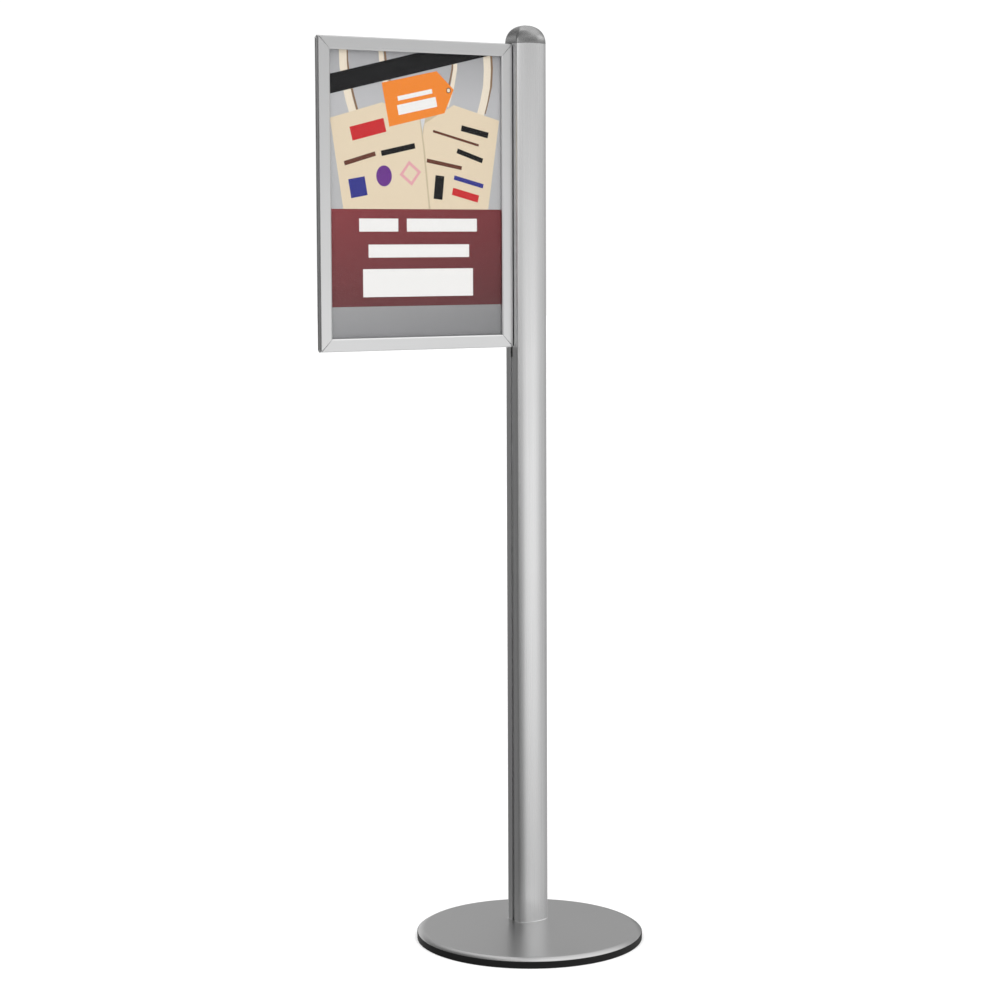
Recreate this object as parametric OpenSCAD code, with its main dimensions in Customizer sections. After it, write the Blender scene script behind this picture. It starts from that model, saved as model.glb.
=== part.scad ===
// Free-standing sign stand: a round weighted base, a slotted post and a double-sided snap frame
// that hangs from the post's left slot. Millimetres, +Z up. The origin is the middle of the
// base's underside, on the floor, and the sign faces -Y and +Y.

/* [Base] */
// Outer diameter of the rubber rim
base_d = 472; // [440:2:520]
// Height of the base's top face above the floor
base_h = 20; // [18:0.5:26]
// Height of the rubber rim at its outside
rim_h = 14.2; // [12:0.1:15]
// Thickness of the steel ballast plate
plate_t = 10; // [6:1:10]
// Thickness of the base cover's sheet metal
cover_t = 2; // [1:0.5:2]

/* [Post] */
// Overall height with the cap
total_h = 1900; // [1500:10:2100]
// Width of the post's section along X, across its two slots
post_w = 73; // [70:1:80]
// Depth of the post's section along Y
post_d = 67; // [64:1:72]
// Radius of the post's bowed front and back faces
post_face_r = 66; // [60:1:90]
// Radius of the post's four corners
post_corner_r = 7; // [5:0.5:9]
// Wall thickness of the post
post_wall = 2; // [1.6:0.1:2.5]
// Width of a slot's mouth
slot_mouth = 8.2; // [8:0.1:9]
// Distance of the post's axis from the base's middle, along X
post_x = 35; // [0:1:60]
// Distance of the post's axis from the base's middle, along Y
post_y = 60; // [30:1:70]
// Height of the domed cap
cap_h = 38; // [28:1:45]

/* [Sign] */
// Width of the paper sheet
sheet_w = 420; // [297:1:594]
// Height of the paper sheet
sheet_h = 594; // [420:1:841]
// Width of the snap rails as seen from the front
rail_w = 25; // [25:1:32]
// Margin of the sheet that the rails hide
sheet_hidden = 10; // [8:1:12]
// Thickness of the whole frame
frame_t = 17; // [17:0.5:20]
// How far the frame's top edge lies under the cap's lower edge
frame_drop = 1; // [1:1:1100]
// Gap between the frame and the post
frame_gap = 1.5; // [1.5:0.1:2.5]

/* [Hidden] */
$fn = 48;
eps = 0.01;

silver = [0.76, 0.77, 0.78];
dark_silver = [0.52, 0.53, 0.54];
steel = [0.45, 0.46, 0.48];
black = [0.06, 0.06, 0.06];
paper = [0.66, 0.67, 0.68];

// base
rim_r = base_d / 2;
rim_ledge_w = 15;
edge_arc_r = 26;                      // rolled edge of the base cover
edge_arc_turn = 38;                   // how far the rolled edge turns down
edge_run = edge_arc_r * sin(edge_arc_turn);
flat_r = rim_r - 1.5 - edge_run;      // where the cover's flat top ends
edge_arc_z = base_h - edge_arc_r;
cover_gap = 0.3;
plate_top = base_h - cover_t - 0.2;
plate_z = plate_top - plate_t;
pad_r = 22;
pad_ring_r = 150;
pad_ring_count = 6;

// post
seam_z = total_h - cap_h;
post_len = seam_z - base_h;
half_w = post_w / 2;
half_d = post_d / 2;
lip_t = 2.5;
slot_room_x = 5.5;
slot_room_y = 15.6;
slot_wall = 1.8;
port_x = 21;
port_y = 23;
port_r = 3.5;
port_wall = 1.7;
bolt_clear_r = 4.5;
bolt_r = 3.4;
bolt_in_post = 25;
bolt_head_r = 7.5;
bolt_head_h = 5.3;
washer_r = 8;
washer_t = 1.6;

// cap
dome_power = 2 / 2.2;                 // 1 would be a plain ellipse
dome_rings = 12;
dome_wall = 2.4;
plug_t = 3;
plug_leg_len = 22;
plug_leg_x = 15.3;
plug_leg_y0 = 3;
plug_leg_y1 = 29.4;

// frame
frame_w = sheet_w + 2 * (rail_w - sheet_hidden);
frame_h = sheet_h + 2 * (rail_w - sheet_hidden);
half_t = frame_t / 2;
right_x = post_x - half_w - frame_gap;
left_x = right_x - frame_w;
top_z = seam_z - frame_drop;
bottom_z = top_z - frame_h;

// rail section, in u (from the outer edge inwards) and w (from the frame's middle outwards)
pivot_u = 3;
pivot_w = half_t - 2.8;
bead_r = 1;
socket_r = 1.05;
socket_out_r = 1.8;
rail_t = 1.2;
outer_lip_t = 0.95;
outer_lip_w = pivot_w - 0.7;
inner_lip_t = 1.8;
round_r = 0.8;
bevel_u = 2.6;
bevel_w = 1.4;
hook_u = 12.4;
mitre_cut = 0.2;
bead_end = 14;                        // how far a rail's bead and hook stop short of its ends

// core section
groove_w = 1.5;
flange_w = 2.5;
flange_u = 14;
core_rim = 1.6;
core_wall_u = 4.2;
core_wall_t = 1.2;
core_wall_w = pivot_w + 0.9;

// sheets
panel_u = 10.6;
panel_t = 2.9;
sheet_t = 0.3;
sheet_gap = 0.05;
clear_u = 14.4;
clear_t = 1;

// fasteners and keys of the frame
key_u0 = 1.9;
key_u1 = 10.1;
key_t = 2.8;
key_len = 60;
small_screw_u = 7.6;
small_head_r = 2.1;
small_head_h = 1.5;
small_shank_r = 1.25;
small_hole_r = 1.4;
spring_u = 9.2;
spring_r = 3.4;
spring_t = 0.5;
spring_len = 14;

// slot brackets
bracket_len = 80;                     // the stretch that enters the frame
bracket_foot = 70;                    // the stretch that only lies in the slot
head_x = 4.6;
head_y = 14.4;
stem_y = 7.8;
neck_y = 4.8;
stop_len = 20;
stop_screw_r = 2.4;

// ---------- outlines ----------

function arc(cx, cy, r, a0, a1, first, last, n) =
    [for (i = [first : n - last]) let (a = a0 + (a1 - a0) * i / n) [cx + r * cos(a), cy + r * sin(a)]];

// The post's outline, drawn in by inset: flat sides, round corners, bowed front and back
function post_outline(inset) =
    let (
        r = post_corner_r - inset,
        face = post_face_r - inset,
        cx = half_w - post_corner_r,
        face_y = half_d - post_face_r,
        rise = sqrt(pow(post_face_r - post_corner_r, 2) - cx * cx),
        cy = face_y + rise,
        turn = atan2(rise, cx)
    )
    concat(
        arc(cx, cy, r, 0, turn, 0, 0, 8),
        arc(0, face_y, face, turn, 180 - turn, 1, 1, 16),
        arc(-cx, cy, r, 180 - turn, 180, 0, 0, 8),
        arc(-cx, -cy, r, 180, 180 + turn, 0, 0, 8),
        arc(0, -face_y, face, 180 + turn, 360 - turn, 1, 1, 16),
        arc(cx, -cy, r, 360 - turn, 360, 0, 0, 8)
    );

module at_post(z) {
    translate([post_x, post_y, z]) children();
}

module at_ports() {
    for (x = [-port_x, port_x], y = [-port_y, port_y]) {
        translate([x, y]) children();
    }
}

// ---------- base ----------

module rim_ring() {
    under_r = edge_arc_r - cover_t - cover_gap;
    under = arc(flat_r, edge_arc_z, under_r, 90 - edge_arc_turn, 89, 0, 0, 8);
    color(black) rotate_extrude($fn = 180) polygon(concat(
        [
            [flat_r + 0.5 - rim_ledge_w, 0],
            [rim_r - 1.5, 0],
            [rim_r - 0.4, 0.5],
            [rim_r, 1.6],
            [rim_r, rim_h - 1],
            [rim_r - 0.3, rim_h - 0.3],
            [rim_r - 0.9, rim_h]
        ],
        under,
        [[flat_r + 0.5, plate_z], [flat_r + 0.5 - rim_ledge_w, plate_z]]
    ));
}

module base_plate() {
    color(steel) difference() {
        translate([0, 0, plate_z]) cylinder(r = flat_r, h = plate_t, $fn = 180);
        at_post(plate_z - 1) at_ports() cylinder(r = bolt_clear_r, h = plate_t + 2);
    }
}

module base_cover() {
    outer = arc(flat_r, edge_arc_z, edge_arc_r, 90 - edge_arc_turn, 90, 0, 0, 10);
    inner = arc(flat_r, edge_arc_z, edge_arc_r - cover_t, 90, 90 - edge_arc_turn, 0, 0, 10);
    color(silver) difference() {
        rotate_extrude($fn = 180) polygon(concat(
            [[0, base_h], [0, base_h - cover_t]],
            inner,
            outer
        ));
        at_post(base_h - cover_t - 1) at_ports() cylinder(r = bolt_clear_r, h = cover_t + 2);
    }
}

module floor_pad() {
    cylinder(r = pad_r - 1, h = 1);
    translate([0, 0, 1]) cylinder(r = pad_r, h = plate_z - 1);
}

module floor_pads() {
    color(black) {
        floor_pad();
        for (i = [0 : pad_ring_count - 1]) {
            rotate([0, 0, i * 360 / pad_ring_count]) translate([pad_ring_r, 0, 0]) floor_pad();
        }
    }
}

module base_bolts() {
    head_z = plate_z - washer_t - bolt_head_h;
    color(steel) at_post(head_z) at_ports() {
        cylinder(r = bolt_head_r, h = bolt_head_h, $fn = 6);
        cylinder(r = bolt_r, h = base_h + bolt_in_post - head_z);
    }
}

module base_washers() {
    color(steel) at_post(plate_z - washer_t) at_ports() difference() {
        cylinder(r = washer_r, h = washer_t);
        translate([0, 0, -1]) cylinder(r = bolt_clear_r, h = washer_t + 2);
    }
}

// ---------- post and cap ----------

// What runs along inside the post's skin: the walls of the two slots, a web and the screw ports
module post_inside() {
    slot_out = lip_t + slot_room_x + slot_wall;
    for (side = [-1, 1]) {
        translate([side * (half_w - slot_out / 2), 0]) {
            square([slot_out, slot_room_y + 2 * slot_wall], center = true);
        }
    }
    square([post_w - 2 * slot_out + 1, slot_wall], center = true);
    at_ports() circle(r = port_r + port_wall);
}

module post_section() {
    difference() {
        union() {
            difference() {
                polygon(post_outline(0));
                polygon(post_outline(post_wall));
            }
            intersection() {
                polygon(post_outline(post_wall / 2));
                post_inside();
            }
        }
        for (side = [-1, 1]) {
            translate([side * half_w, 0]) square([2 * lip_t + 1, slot_mouth], center = true);
            translate([side * (half_w - lip_t - slot_room_x / 2), 0]) {
                square([slot_room_x, slot_room_y], center = true);
            }
        }
        at_ports() circle(r = port_r);
    }
}

module post() {
    color(silver) at_post(base_h) linear_extrude(post_len) post_section();
}

module cap_plug() {
    color(black) at_post(seam_z) {
        linear_extrude(plug_t) polygon(post_outline(dome_wall + 0.3));
        for (side = [-1, 1]) {
            scale([1, side, 1]) translate([0, 0, -plug_leg_len]) difference() {
                translate([-plug_leg_x, plug_leg_y0, 0]) {
                    cube([2 * plug_leg_x, plug_leg_y1 - plug_leg_y0, plug_leg_len + eps]);
                }
                translate([-plug_leg_x + 2, plug_leg_y0 + 2, -1]) {
                    cube([2 * plug_leg_x - 4, plug_leg_y1 - plug_leg_y0 - 4, plug_leg_len]);
                }
            }
        }
    }
}

// A dome over the post's outline, as rings that shrink towards one top point
module dome(inset, h) {
    outline = post_outline(inset);
    n = len(outline);
    rings = [
        for (k = [0 : dome_rings - 1])
            let (t = 90 * k / dome_rings, s = pow(cos(t), dome_power), z = h * pow(sin(t), dome_power))
            [for (p = outline) [p[0] * s, p[1] * s, z]]
    ];
    points = concat([for (ring = rings) each ring], [[0, 0, h]]);
    sides = [
        for (k = [0 : dome_rings - 2], i = [0 : n - 1])
            let (j = (i + 1) % n)
            [k * n + i, (k + 1) * n + i, (k + 1) * n + j, k * n + j]
    ];
    top_ring = (dome_rings - 1) * n;
    top = [for (i = [0 : n - 1]) [top_ring + i, dome_rings * n, top_ring + (i + 1) % n]];
    polyhedron(points, concat([[for (i = [0 : n - 1]) i]], sides, top));
}

module cap() {
    color(dark_silver) at_post(seam_z) difference() {
        dome(0, cap_h);
        translate([0, 0, -eps]) dome(dome_wall, cap_h - dome_wall);
    }
}

// ---------- placing frame pieces ----------
// A frame piece is drawn with u along X, the frame's thickness along Y and its length along Z

module on_left() {
    translate([left_x, post_y, bottom_z]) children();
}

module on_right() {
    translate([right_x, post_y, bottom_z]) mirror([1, 0, 0]) children();
}

module on_bottom() {
    translate([left_x, post_y, bottom_z]) mirror([1, 0, -1]) children();
}

module on_top() {
    translate([left_x, post_y, top_z]) mirror([0, 0, 1]) mirror([1, 0, -1]) children();
}

module front() {
    mirror([0, 1, 0]) children();
}

// A section extruded along a side of the frame, with both ends cut at 45 degrees
module mitred(length, cut) {
    inner = rail_w + 1;
    intersection() {
        linear_extrude(length) children();
        translate([0, frame_t, 0]) rotate([90, 0, 0]) linear_extrude(2 * frame_t) polygon([
            [-1, -1 + cut],
            [inner, inner + cut],
            [inner, length - inner - cut],
            [-1, length + 1 - cut]
        ]);
    }
}

// ---------- frame core ----------

module core_half_section() {
    translate([0, groove_w]) square([flange_u, flange_w - groove_w]);
    translate([0, -eps]) square([core_rim, groove_w + 2 * eps]);
    difference() {
        union() {
            translate([core_wall_u, flange_w - eps]) square([core_wall_t, core_wall_w - flange_w]);
            translate([pivot_u, pivot_w]) circle(r = socket_out_r);
        }
        translate([pivot_u, pivot_w]) {
            circle(r = socket_r);
            polygon([
                [0, 0],
                [3 * cos(55), 3 * sin(55)],
                [0, 4],
                [-4, 3],
                [-4, -1],
                [3 * cos(212), 3 * sin(212)]
            ]);
        }
    }
}

module core_section() {
    core_half_section();
    front() core_half_section();
}

module screw_holes(length) {
    for (s = [key_len - 12, length - key_len + 12]) {
        translate([small_screw_u, 0, s]) rotate([90, 0, 0]) cylinder(r = small_hole_r, h = frame_t, center = true);
    }
}

module core(length) {
    color(silver) difference() {
        mitred(length, 0.05) core_section();
        screw_holes(length);
    }
}

module core_top() {
    on_top() core(frame_w);
}

module core_bottom() {
    on_bottom() core(frame_w);
}

module core_left() {
    on_left() core(frame_h);
}

// Lowest point of each bracket's stretch inside the frame, along the right core
bracket_s = [bracket_foot + 2, frame_h - bracket_foot - bracket_len - 2];

module core_right() {
    on_right() difference() {
        core(frame_h);
        for (s = bracket_s) {
            translate([-1, -groove_w, s - 0.2]) cube([core_rim + 2, 2 * groove_w, bracket_len + 0.4]);
            for (hole = bracket_holes(s)) {
                translate([small_screw_u, 0, hole]) rotate([90, 0, 0]) {
                    cylinder(r = small_hole_r, h = frame_t, center = true);
                }
            }
        }
    }
}

function bracket_holes(s) = [s + 15, s + bracket_len - 15];

module corner_key() {
    difference() {
        union() {
            translate([key_u0, -key_t / 2, key_u0]) cube([key_u1 - key_u0, key_t, key_len - key_u0]);
            translate([key_u0, -key_t / 2, key_u0]) cube([key_len - key_u0, key_t, key_u1 - key_u0]);
        }
        for (swap = [0, 1]) {
            mirror([swap, 0, -swap]) translate([small_screw_u, 0, key_len - 12]) rotate([90, 0, 0]) {
                cylinder(r = small_hole_r, h = frame_t, center = true);
            }
        }
    }
}

// The four corners of the frame, each with u along both of its sides
module at_corners() {
    translate([left_x, post_y, bottom_z]) children();
    translate([right_x, post_y, bottom_z]) mirror([1, 0, 0]) children();
    translate([left_x, post_y, top_z]) mirror([0, 0, 1]) children();
    translate([right_x, post_y, top_z]) mirror([0, 0, 1]) mirror([1, 0, 0]) children();
}

module corner_keys() {
    color(steel) at_corners() corner_key();
}

// A small screw along Y: its head lies on the front flange
module small_screw(s) {
    translate([small_screw_u, -flange_w, s]) rotate([90, 0, 0]) {
        cylinder(r = small_head_r, h = small_head_h);
        translate([0, 0, -2 * flange_w]) cylinder(r = small_shank_r, h = 2 * flange_w + eps);
    }
}

module key_screws() {
    color(steel) at_corners() {
        small_screw(key_len - 12);
        mirror([1, 0, -1]) small_screw(key_len - 12);
    }
}

// ---------- brackets in the post's slot ----------

// Section of a bracket, in the same u and w as the frame: u is negative outside the frame
module bracket_slot_section() {
    head_u = -(frame_gap + lip_t + 0.2);
    polygon([
        [0, -neck_y / 2],
        [0, neck_y / 2],
        [0.1 - frame_gap, neck_y / 2],
        [0.1 - frame_gap, stem_y / 2],
        [head_u, stem_y / 2],
        [head_u, head_y / 2],
        [head_u - head_x, head_y / 2],
        [head_u - head_x, -head_y / 2],
        [head_u, -head_y / 2],
        [head_u, -stem_y / 2],
        [0.1 - frame_gap, -stem_y / 2],
        [0.1 - frame_gap, -neck_y / 2]
    ]);
}

module bracket(s, foot_below) {
    foot_s = foot_below ? s - bracket_foot : s;
    difference() {
        union() {
            translate([0, 0, foot_s]) linear_extrude(bracket_len + bracket_foot) bracket_slot_section();
            translate([-eps, -key_t / 2, s]) cube([key_u1, key_t, bracket_len]);
        }
        for (hole = bracket_holes(s)) {
            translate([small_screw_u, 0, hole]) rotate([90, 0, 0]) {
                cylinder(r = small_hole_r, h = frame_t, center = true);
            }
        }
    }
}

module mount_brackets() {
    color(steel) on_right() {
        bracket(bracket_s[0], true);
        bracket(bracket_s[1], false);
    }
}

module bracket_screws() {
    color(steel) on_right() {
        for (s = bracket_s, hole = bracket_holes(s)) {
            small_screw(hole);
        }
    }
}

// The stop nut lies in the slot just under the lower bracket and is locked by a grub screw
module stop_nut() {
    color(black) on_right() translate([0, 0, -stop_len]) difference() {
        linear_extrude(stop_len) intersection() {
            bracket_slot_section();
            translate([-20, -10]) square([20 - frame_gap - 0.5, 20]);
        }
        translate([0, 0, stop_len / 2]) rotate([0, -90, 0]) cylinder(r = 2.5, h = 20);
    }
}

module stop_screw() {
    screw_len = lip_t + slot_room_x - 0.6;
    color(steel) on_right() translate([-frame_gap - 0.6, 0, -stop_len / 2]) rotate([0, -90, 0]) {
        difference() {
            cylinder(r = stop_screw_r, h = screw_len);
            translate([0, 0, -eps]) cylinder(r = 1.4, h = 3, $fn = 6);
        }
    }
}

// ---------- sheets ----------

module sheet_at(u, w, t) {
    translate([left_x + u, post_y + w, bottom_z + u]) cube([frame_w - 2 * u, t, frame_h - 2 * u]);
}

sheet_u = rail_w - sheet_hidden;
sheet_w0 = panel_t / 2 + sheet_gap;
clear_w0 = sheet_w0 + sheet_t + sheet_gap;

module backing_panel() {
    color("white") sheet_at(panel_u, -panel_t / 2, panel_t);
}

module poster_front() {
    color(paper) sheet_at(sheet_u, -sheet_w0 - sheet_t, sheet_t);
}

module poster_back() {
    color(paper) sheet_at(sheet_u, sheet_w0, sheet_t);
}

module cover_front() {
    color([0.9, 0.95, 1, 0.3]) sheet_at(clear_u, -clear_w0 - clear_t, clear_t);
}

module cover_back() {
    color([0.9, 0.95, 1, 0.3]) sheet_at(clear_u, clear_w0, clear_t);
}

// ---------- snap springs ----------

module snap_spring() {
    translate([spring_u, flange_w + 0.1, -spring_len / 2]) linear_extrude(spring_len) difference() {
        circle(r = spring_r);
        circle(r = spring_r - spring_t);
        translate([-spring_r - 1, -spring_r - 1]) square([2 * spring_r + 2, spring_r + 1]);
    }
}

module spring_row(length, count) {
    pitch = length / count;
    for (i = [0 : count - 1]) {
        translate([0, 0, pitch * (i + 0.5)]) snap_spring();
    }
}

module springs_back() {
    color(steel) {
        on_left() spring_row(frame_h, 4);
        on_right() spring_row(frame_h, 4);
        on_top() spring_row(frame_w, 3);
        on_bottom() spring_row(frame_w, 3);
    }
}

module springs_front() {
    translate([0, 2 * post_y, 0]) mirror([0, 1, 0]) springs_back();
}

// ---------- snap rails ----------

module rail_section() {
    lip_bottom = clear_w0 + clear_t + 0.1;
    polygon(concat(
        [
            [0, outer_lip_w],
            [outer_lip_t, outer_lip_w],
            [outer_lip_t, half_t - rail_t],
            [rail_w - inner_lip_t - 1.6, half_t - rail_t],
            [rail_w - inner_lip_t, half_t - rail_t - 0.6],
            [rail_w - inner_lip_t, lip_bottom],
            [rail_w, lip_bottom],
            [rail_w, half_t - bevel_w],
            [rail_w - bevel_u, half_t]
        ],
        arc(round_r, half_t - round_r, round_r, 90, 180, 0, 0, 4)
    ));
}

// The hinge bead on its neck and the hook that the springs press on: they end short of the mitres
module rail_bead_section() {
    translate([pivot_u, pivot_w]) circle(r = bead_r);
    translate([pivot_u - 0.45, pivot_w]) square([0.9, half_t - pivot_w - rail_t / 2]);
    translate([hook_u, half_t - rail_t - 1]) square([0.8, 1 + rail_t / 2]);
}

// What is cut off the outer corner of an end, so that the four rails of a face can all stand open
module rail_end_relief() {
    translate([-1, 0, 0]) rotate([90, 0, 90]) linear_extrude(2.45) polygon([
        [outer_lip_w - 1, -1],
        [half_t + 1, -1],
        [half_t + 1, 1.5],
        [half_t - round_r, 1.5],
        [outer_lip_w, 3.9],
        [outer_lip_w - 1, 3.9]
    ]);
}

module rail(length) {
    color(silver) {
        difference() {
            mitred(length, mitre_cut) rail_section();
            rail_end_relief();
            translate([0, 0, length]) mirror([0, 0, 1]) rail_end_relief();
        }
        translate([0, 0, bead_end]) linear_extrude(length - 2 * bead_end) rail_bead_section();
    }
}

module back_rail_top() {
    on_top() rail(frame_w);
}

module back_rail_bottom() {
    on_bottom() rail(frame_w);
}

module back_rail_left() {
    on_left() rail(frame_h);
}

module back_rail_right() {
    on_right() rail(frame_h);
}

module front_rail_top() {
    on_top() front() rail(frame_w);
}

module front_rail_bottom() {
    on_bottom() front() rail(frame_w);
}

module front_rail_left() {
    on_left() front() rail(frame_h);
}

module front_rail_right() {
    on_right() front() rail(frame_h);
}

rim_ring();
base_plate();
base_cover();
floor_pads();
base_bolts();
base_washers();
post();
cap_plug();
cap();
core_top();
core_bottom();
core_left();
core_right();
corner_keys();
key_screws();
mount_brackets();
bracket_screws();
stop_nut();
stop_screw();
backing_panel();
poster_front();
poster_back();
cover_front();
cover_back();
springs_front();
springs_back();
front_rail_top();
front_rail_bottom();
front_rail_left();
front_rail_right();
back_rail_top();
back_rail_bottom();
back_rail_left();
back_rail_right();
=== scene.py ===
"""Sign stand: the looks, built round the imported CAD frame. The record's frame: +Z up, metres."""

import math

import bmesh
import bpy
from mathutils import Matrix, Vector
from mathutils.geometry import delaunay_2d_cdt, tessellate_polygon


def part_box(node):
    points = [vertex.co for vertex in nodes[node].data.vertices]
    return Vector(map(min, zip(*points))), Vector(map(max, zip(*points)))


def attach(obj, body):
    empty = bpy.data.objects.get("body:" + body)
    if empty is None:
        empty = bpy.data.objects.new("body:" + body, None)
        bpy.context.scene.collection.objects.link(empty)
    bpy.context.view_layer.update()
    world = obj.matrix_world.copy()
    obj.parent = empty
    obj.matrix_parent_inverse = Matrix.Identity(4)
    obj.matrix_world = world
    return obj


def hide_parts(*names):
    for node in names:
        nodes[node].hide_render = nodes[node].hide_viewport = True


MM = 0.001

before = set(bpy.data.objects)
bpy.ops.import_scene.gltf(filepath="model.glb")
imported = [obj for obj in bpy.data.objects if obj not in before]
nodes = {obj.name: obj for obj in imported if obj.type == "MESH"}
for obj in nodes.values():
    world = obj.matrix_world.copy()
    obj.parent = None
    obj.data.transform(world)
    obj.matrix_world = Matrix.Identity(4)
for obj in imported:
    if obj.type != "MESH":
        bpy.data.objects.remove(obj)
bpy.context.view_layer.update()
scene = bpy.context.scene
scene.view_settings.view_transform = "Standard"

post_lo, post_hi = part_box("post")
POST_X = (post_lo.x + post_hi.x) / 2
POST_Y = (post_lo.y + post_hi.y) / 2

# ---------------------------------------------------------------- camera

AZIMUTH = math.radians(32.9)  # of the post as seen from the camera, from +Y towards +X
DISTANCE = 5.1008  # from the post's axis
CAMERA_Z = 1.4404
YAW, PITCH, ROLL = math.radians(31.589), math.radians(-4.937), math.radians(-0.282)
LENS = 87.86
SHIFT_X, SHIFT_Y = 0.0291, -0.04

camera_data = bpy.data.cameras.new("camera")
camera_data.lens = LENS
camera_data.sensor_width = 36
camera_data.shift_x = SHIFT_X
camera_data.shift_y = SHIFT_Y
camera_data.clip_start, camera_data.clip_end = 0.1, 200
camera = bpy.data.objects.new("camera", camera_data)
scene.collection.objects.link(camera)
scene.camera = camera
right = Vector((math.cos(YAW), -math.sin(YAW), 0))
level_ahead = Vector((math.sin(YAW), math.cos(YAW), 0))
ahead = level_ahead * math.cos(PITCH) + Vector((0, 0, math.sin(PITCH)))
up = right.cross(ahead)
right_rolled = right * math.cos(ROLL) + up * math.sin(ROLL)
up_rolled = up * math.cos(ROLL) - right * math.sin(ROLL)
place = Matrix((right_rolled, up_rolled, -ahead)).transposed().to_4x4()
place.translation = Vector((POST_X, POST_Y, CAMERA_Z)) - DISTANCE * Vector(
    (math.sin(AZIMUTH), math.cos(AZIMUTH), 0)
)
camera.matrix_world = place

# ---------------------------------------------------------------- materials


class Nodes:
    """A node tree under construction. A value that is a socket gets linked, any other is set."""

    def __init__(self, tree):
        self.tree = tree
        tree.nodes.clear()

    def add(self, kind, inputs=None, **settings):
        n = self.tree.nodes.new(kind)
        for key, value in settings.items():
            setattr(n, key, value)
        for key, value in (inputs or {}).items():
            self.put(n.inputs[key], value)
        return n

    def put(self, socket, value):
        if isinstance(value, bpy.types.NodeSocket):
            self.tree.links.new(value, socket)
        elif isinstance(value, bpy.types.Node):
            self.tree.links.new(value.outputs[0], socket)
        else:
            socket.default_value = value

    def math(self, operation, a, b=0.0, c=0.0, clamp=False):
        n = self.add("ShaderNodeMath", {0: a, 1: b, 2: c}, operation=operation, use_clamp=clamp)
        return n.outputs[0]

    def vector(self, operation, a, b=(0, 0, 0)):
        return self.add("ShaderNodeVectorMath", {0: a, 1: b}, operation=operation)

    def spread(self, value, low, high, to_low=0.0, to_high=1.0, smooth=False):
        kind = "SMOOTHSTEP" if smooth else "LINEAR"
        n = self.add(
            "ShaderNodeMapRange",
            {0: value, 1: low, 2: high, 3: to_low, 4: to_high},
            interpolation_type=kind,
        )
        return n.outputs[0]

    def noise(self, cells, detail=2.0, rough=0.5, where=None):
        """Noise in object space with so many cells per metre along X, Y and Z."""
        coords = where or self.add("ShaderNodeTexCoord").outputs["Object"]
        scaled = self.vector("MULTIPLY", coords, cells)
        n = self.add(
            "ShaderNodeTexNoise",
            {"Vector": scaled, "Scale": 1.0, "Detail": detail, "Roughness": rough},
        )
        return n.outputs[0]

    def ramp(self, value, stops):
        n = self.add("ShaderNodeValToRGB", {0: value})
        points = n.color_ramp.elements
        while len(points) > len(stops):
            points.remove(points[-1])
        while len(points) < len(stops):
            points.new(0.5)
        for point, (at, colour) in zip(points, stops):
            point.position = at
            point.color = (*colour, 1)
        return n.outputs[0]

    def mix(self, factor, a, b, blend="MIX"):
        n = self.add("ShaderNodeMix", data_type="RGBA", blend_type=blend)
        self.put(n.inputs[0], factor)
        self.put(n.inputs[6], a)
        self.put(n.inputs[7], b)
        return n.outputs[2]

    def blend(self, factor, a, b):
        n = self.add("ShaderNodeMix", data_type="FLOAT")
        self.put(n.inputs[0], factor)
        self.put(n.inputs[2], a)
        self.put(n.inputs[3], b)
        return n.outputs[0]

    def dimmed(self, colour, level):
        """A colour times a level."""
        levels = self.add("ShaderNodeCombineColor", {0: level, 1: level, 2: level})
        return self.mix(1.0, colour, levels, "MULTIPLY")

    def bump(self, height, distance, strength=1.0):
        n = self.add(
            "ShaderNodeBump", {"Height": height, "Distance": distance, "Strength": strength}
        )
        return n.outputs[0]

    def surface(self, **inputs):
        shader = self.add("ShaderNodeBsdfPrincipled")
        for key, value in inputs.items():
            self.put(shader.inputs[key.replace("_", " ")], value)
        out = self.add("ShaderNodeOutputMaterial")
        self.tree.links.new(shader.outputs[0], out.inputs[0])
        return shader


def new_material(name):
    made = bpy.data.materials.new(name)
    made.use_nodes = True
    return made, Nodes(made.node_tree)


def grey(level, tint=0.0):
    """A linear grey; a positive tint is a little blue."""
    return (level * (1 - tint), level, level * (1 + tint), 1)


LINES_PER_M, LINE_ENDS_PER_M = 900, 2.5


def streaked_metal(name, level, rough, along, spread=0.03, tint=0.002, metallic=1.0, depth=0.004):
    """Satin metal with fine die or brush lines along one axis, a fine grain and slight clouds."""
    made, n = new_material(name)
    cells = [LINES_PER_M] * 3
    cells[along] = LINE_ENDS_PER_M
    lines = n.noise(cells, 3.0, 0.6)
    grain = n.noise((2600, 2600, 2600), 1.0)
    clouds = n.noise((7, 7, 7), 3.0, 0.55)
    both = n.math("ADD", n.math("MULTIPLY", lines, 0.65), n.math("MULTIPLY", grain, 0.35))
    dark, light = grey(level * (1 - spread), tint), grey(level * (1 + spread), tint)
    tone = n.math("ADD", n.math("MULTIPLY", both, 0.6), n.math("MULTIPLY", clouds, 0.4))
    n.surface(
        Base_Color=n.mix(n.spread(tone, 0.3, 0.7), dark, light),
        Metallic=metallic,
        Roughness=n.spread(both, 0.25, 0.75, rough - 0.035, rough + 0.035),
        Normal=n.bump(both, depth * MM, 0.6),
    )
    return made


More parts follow.
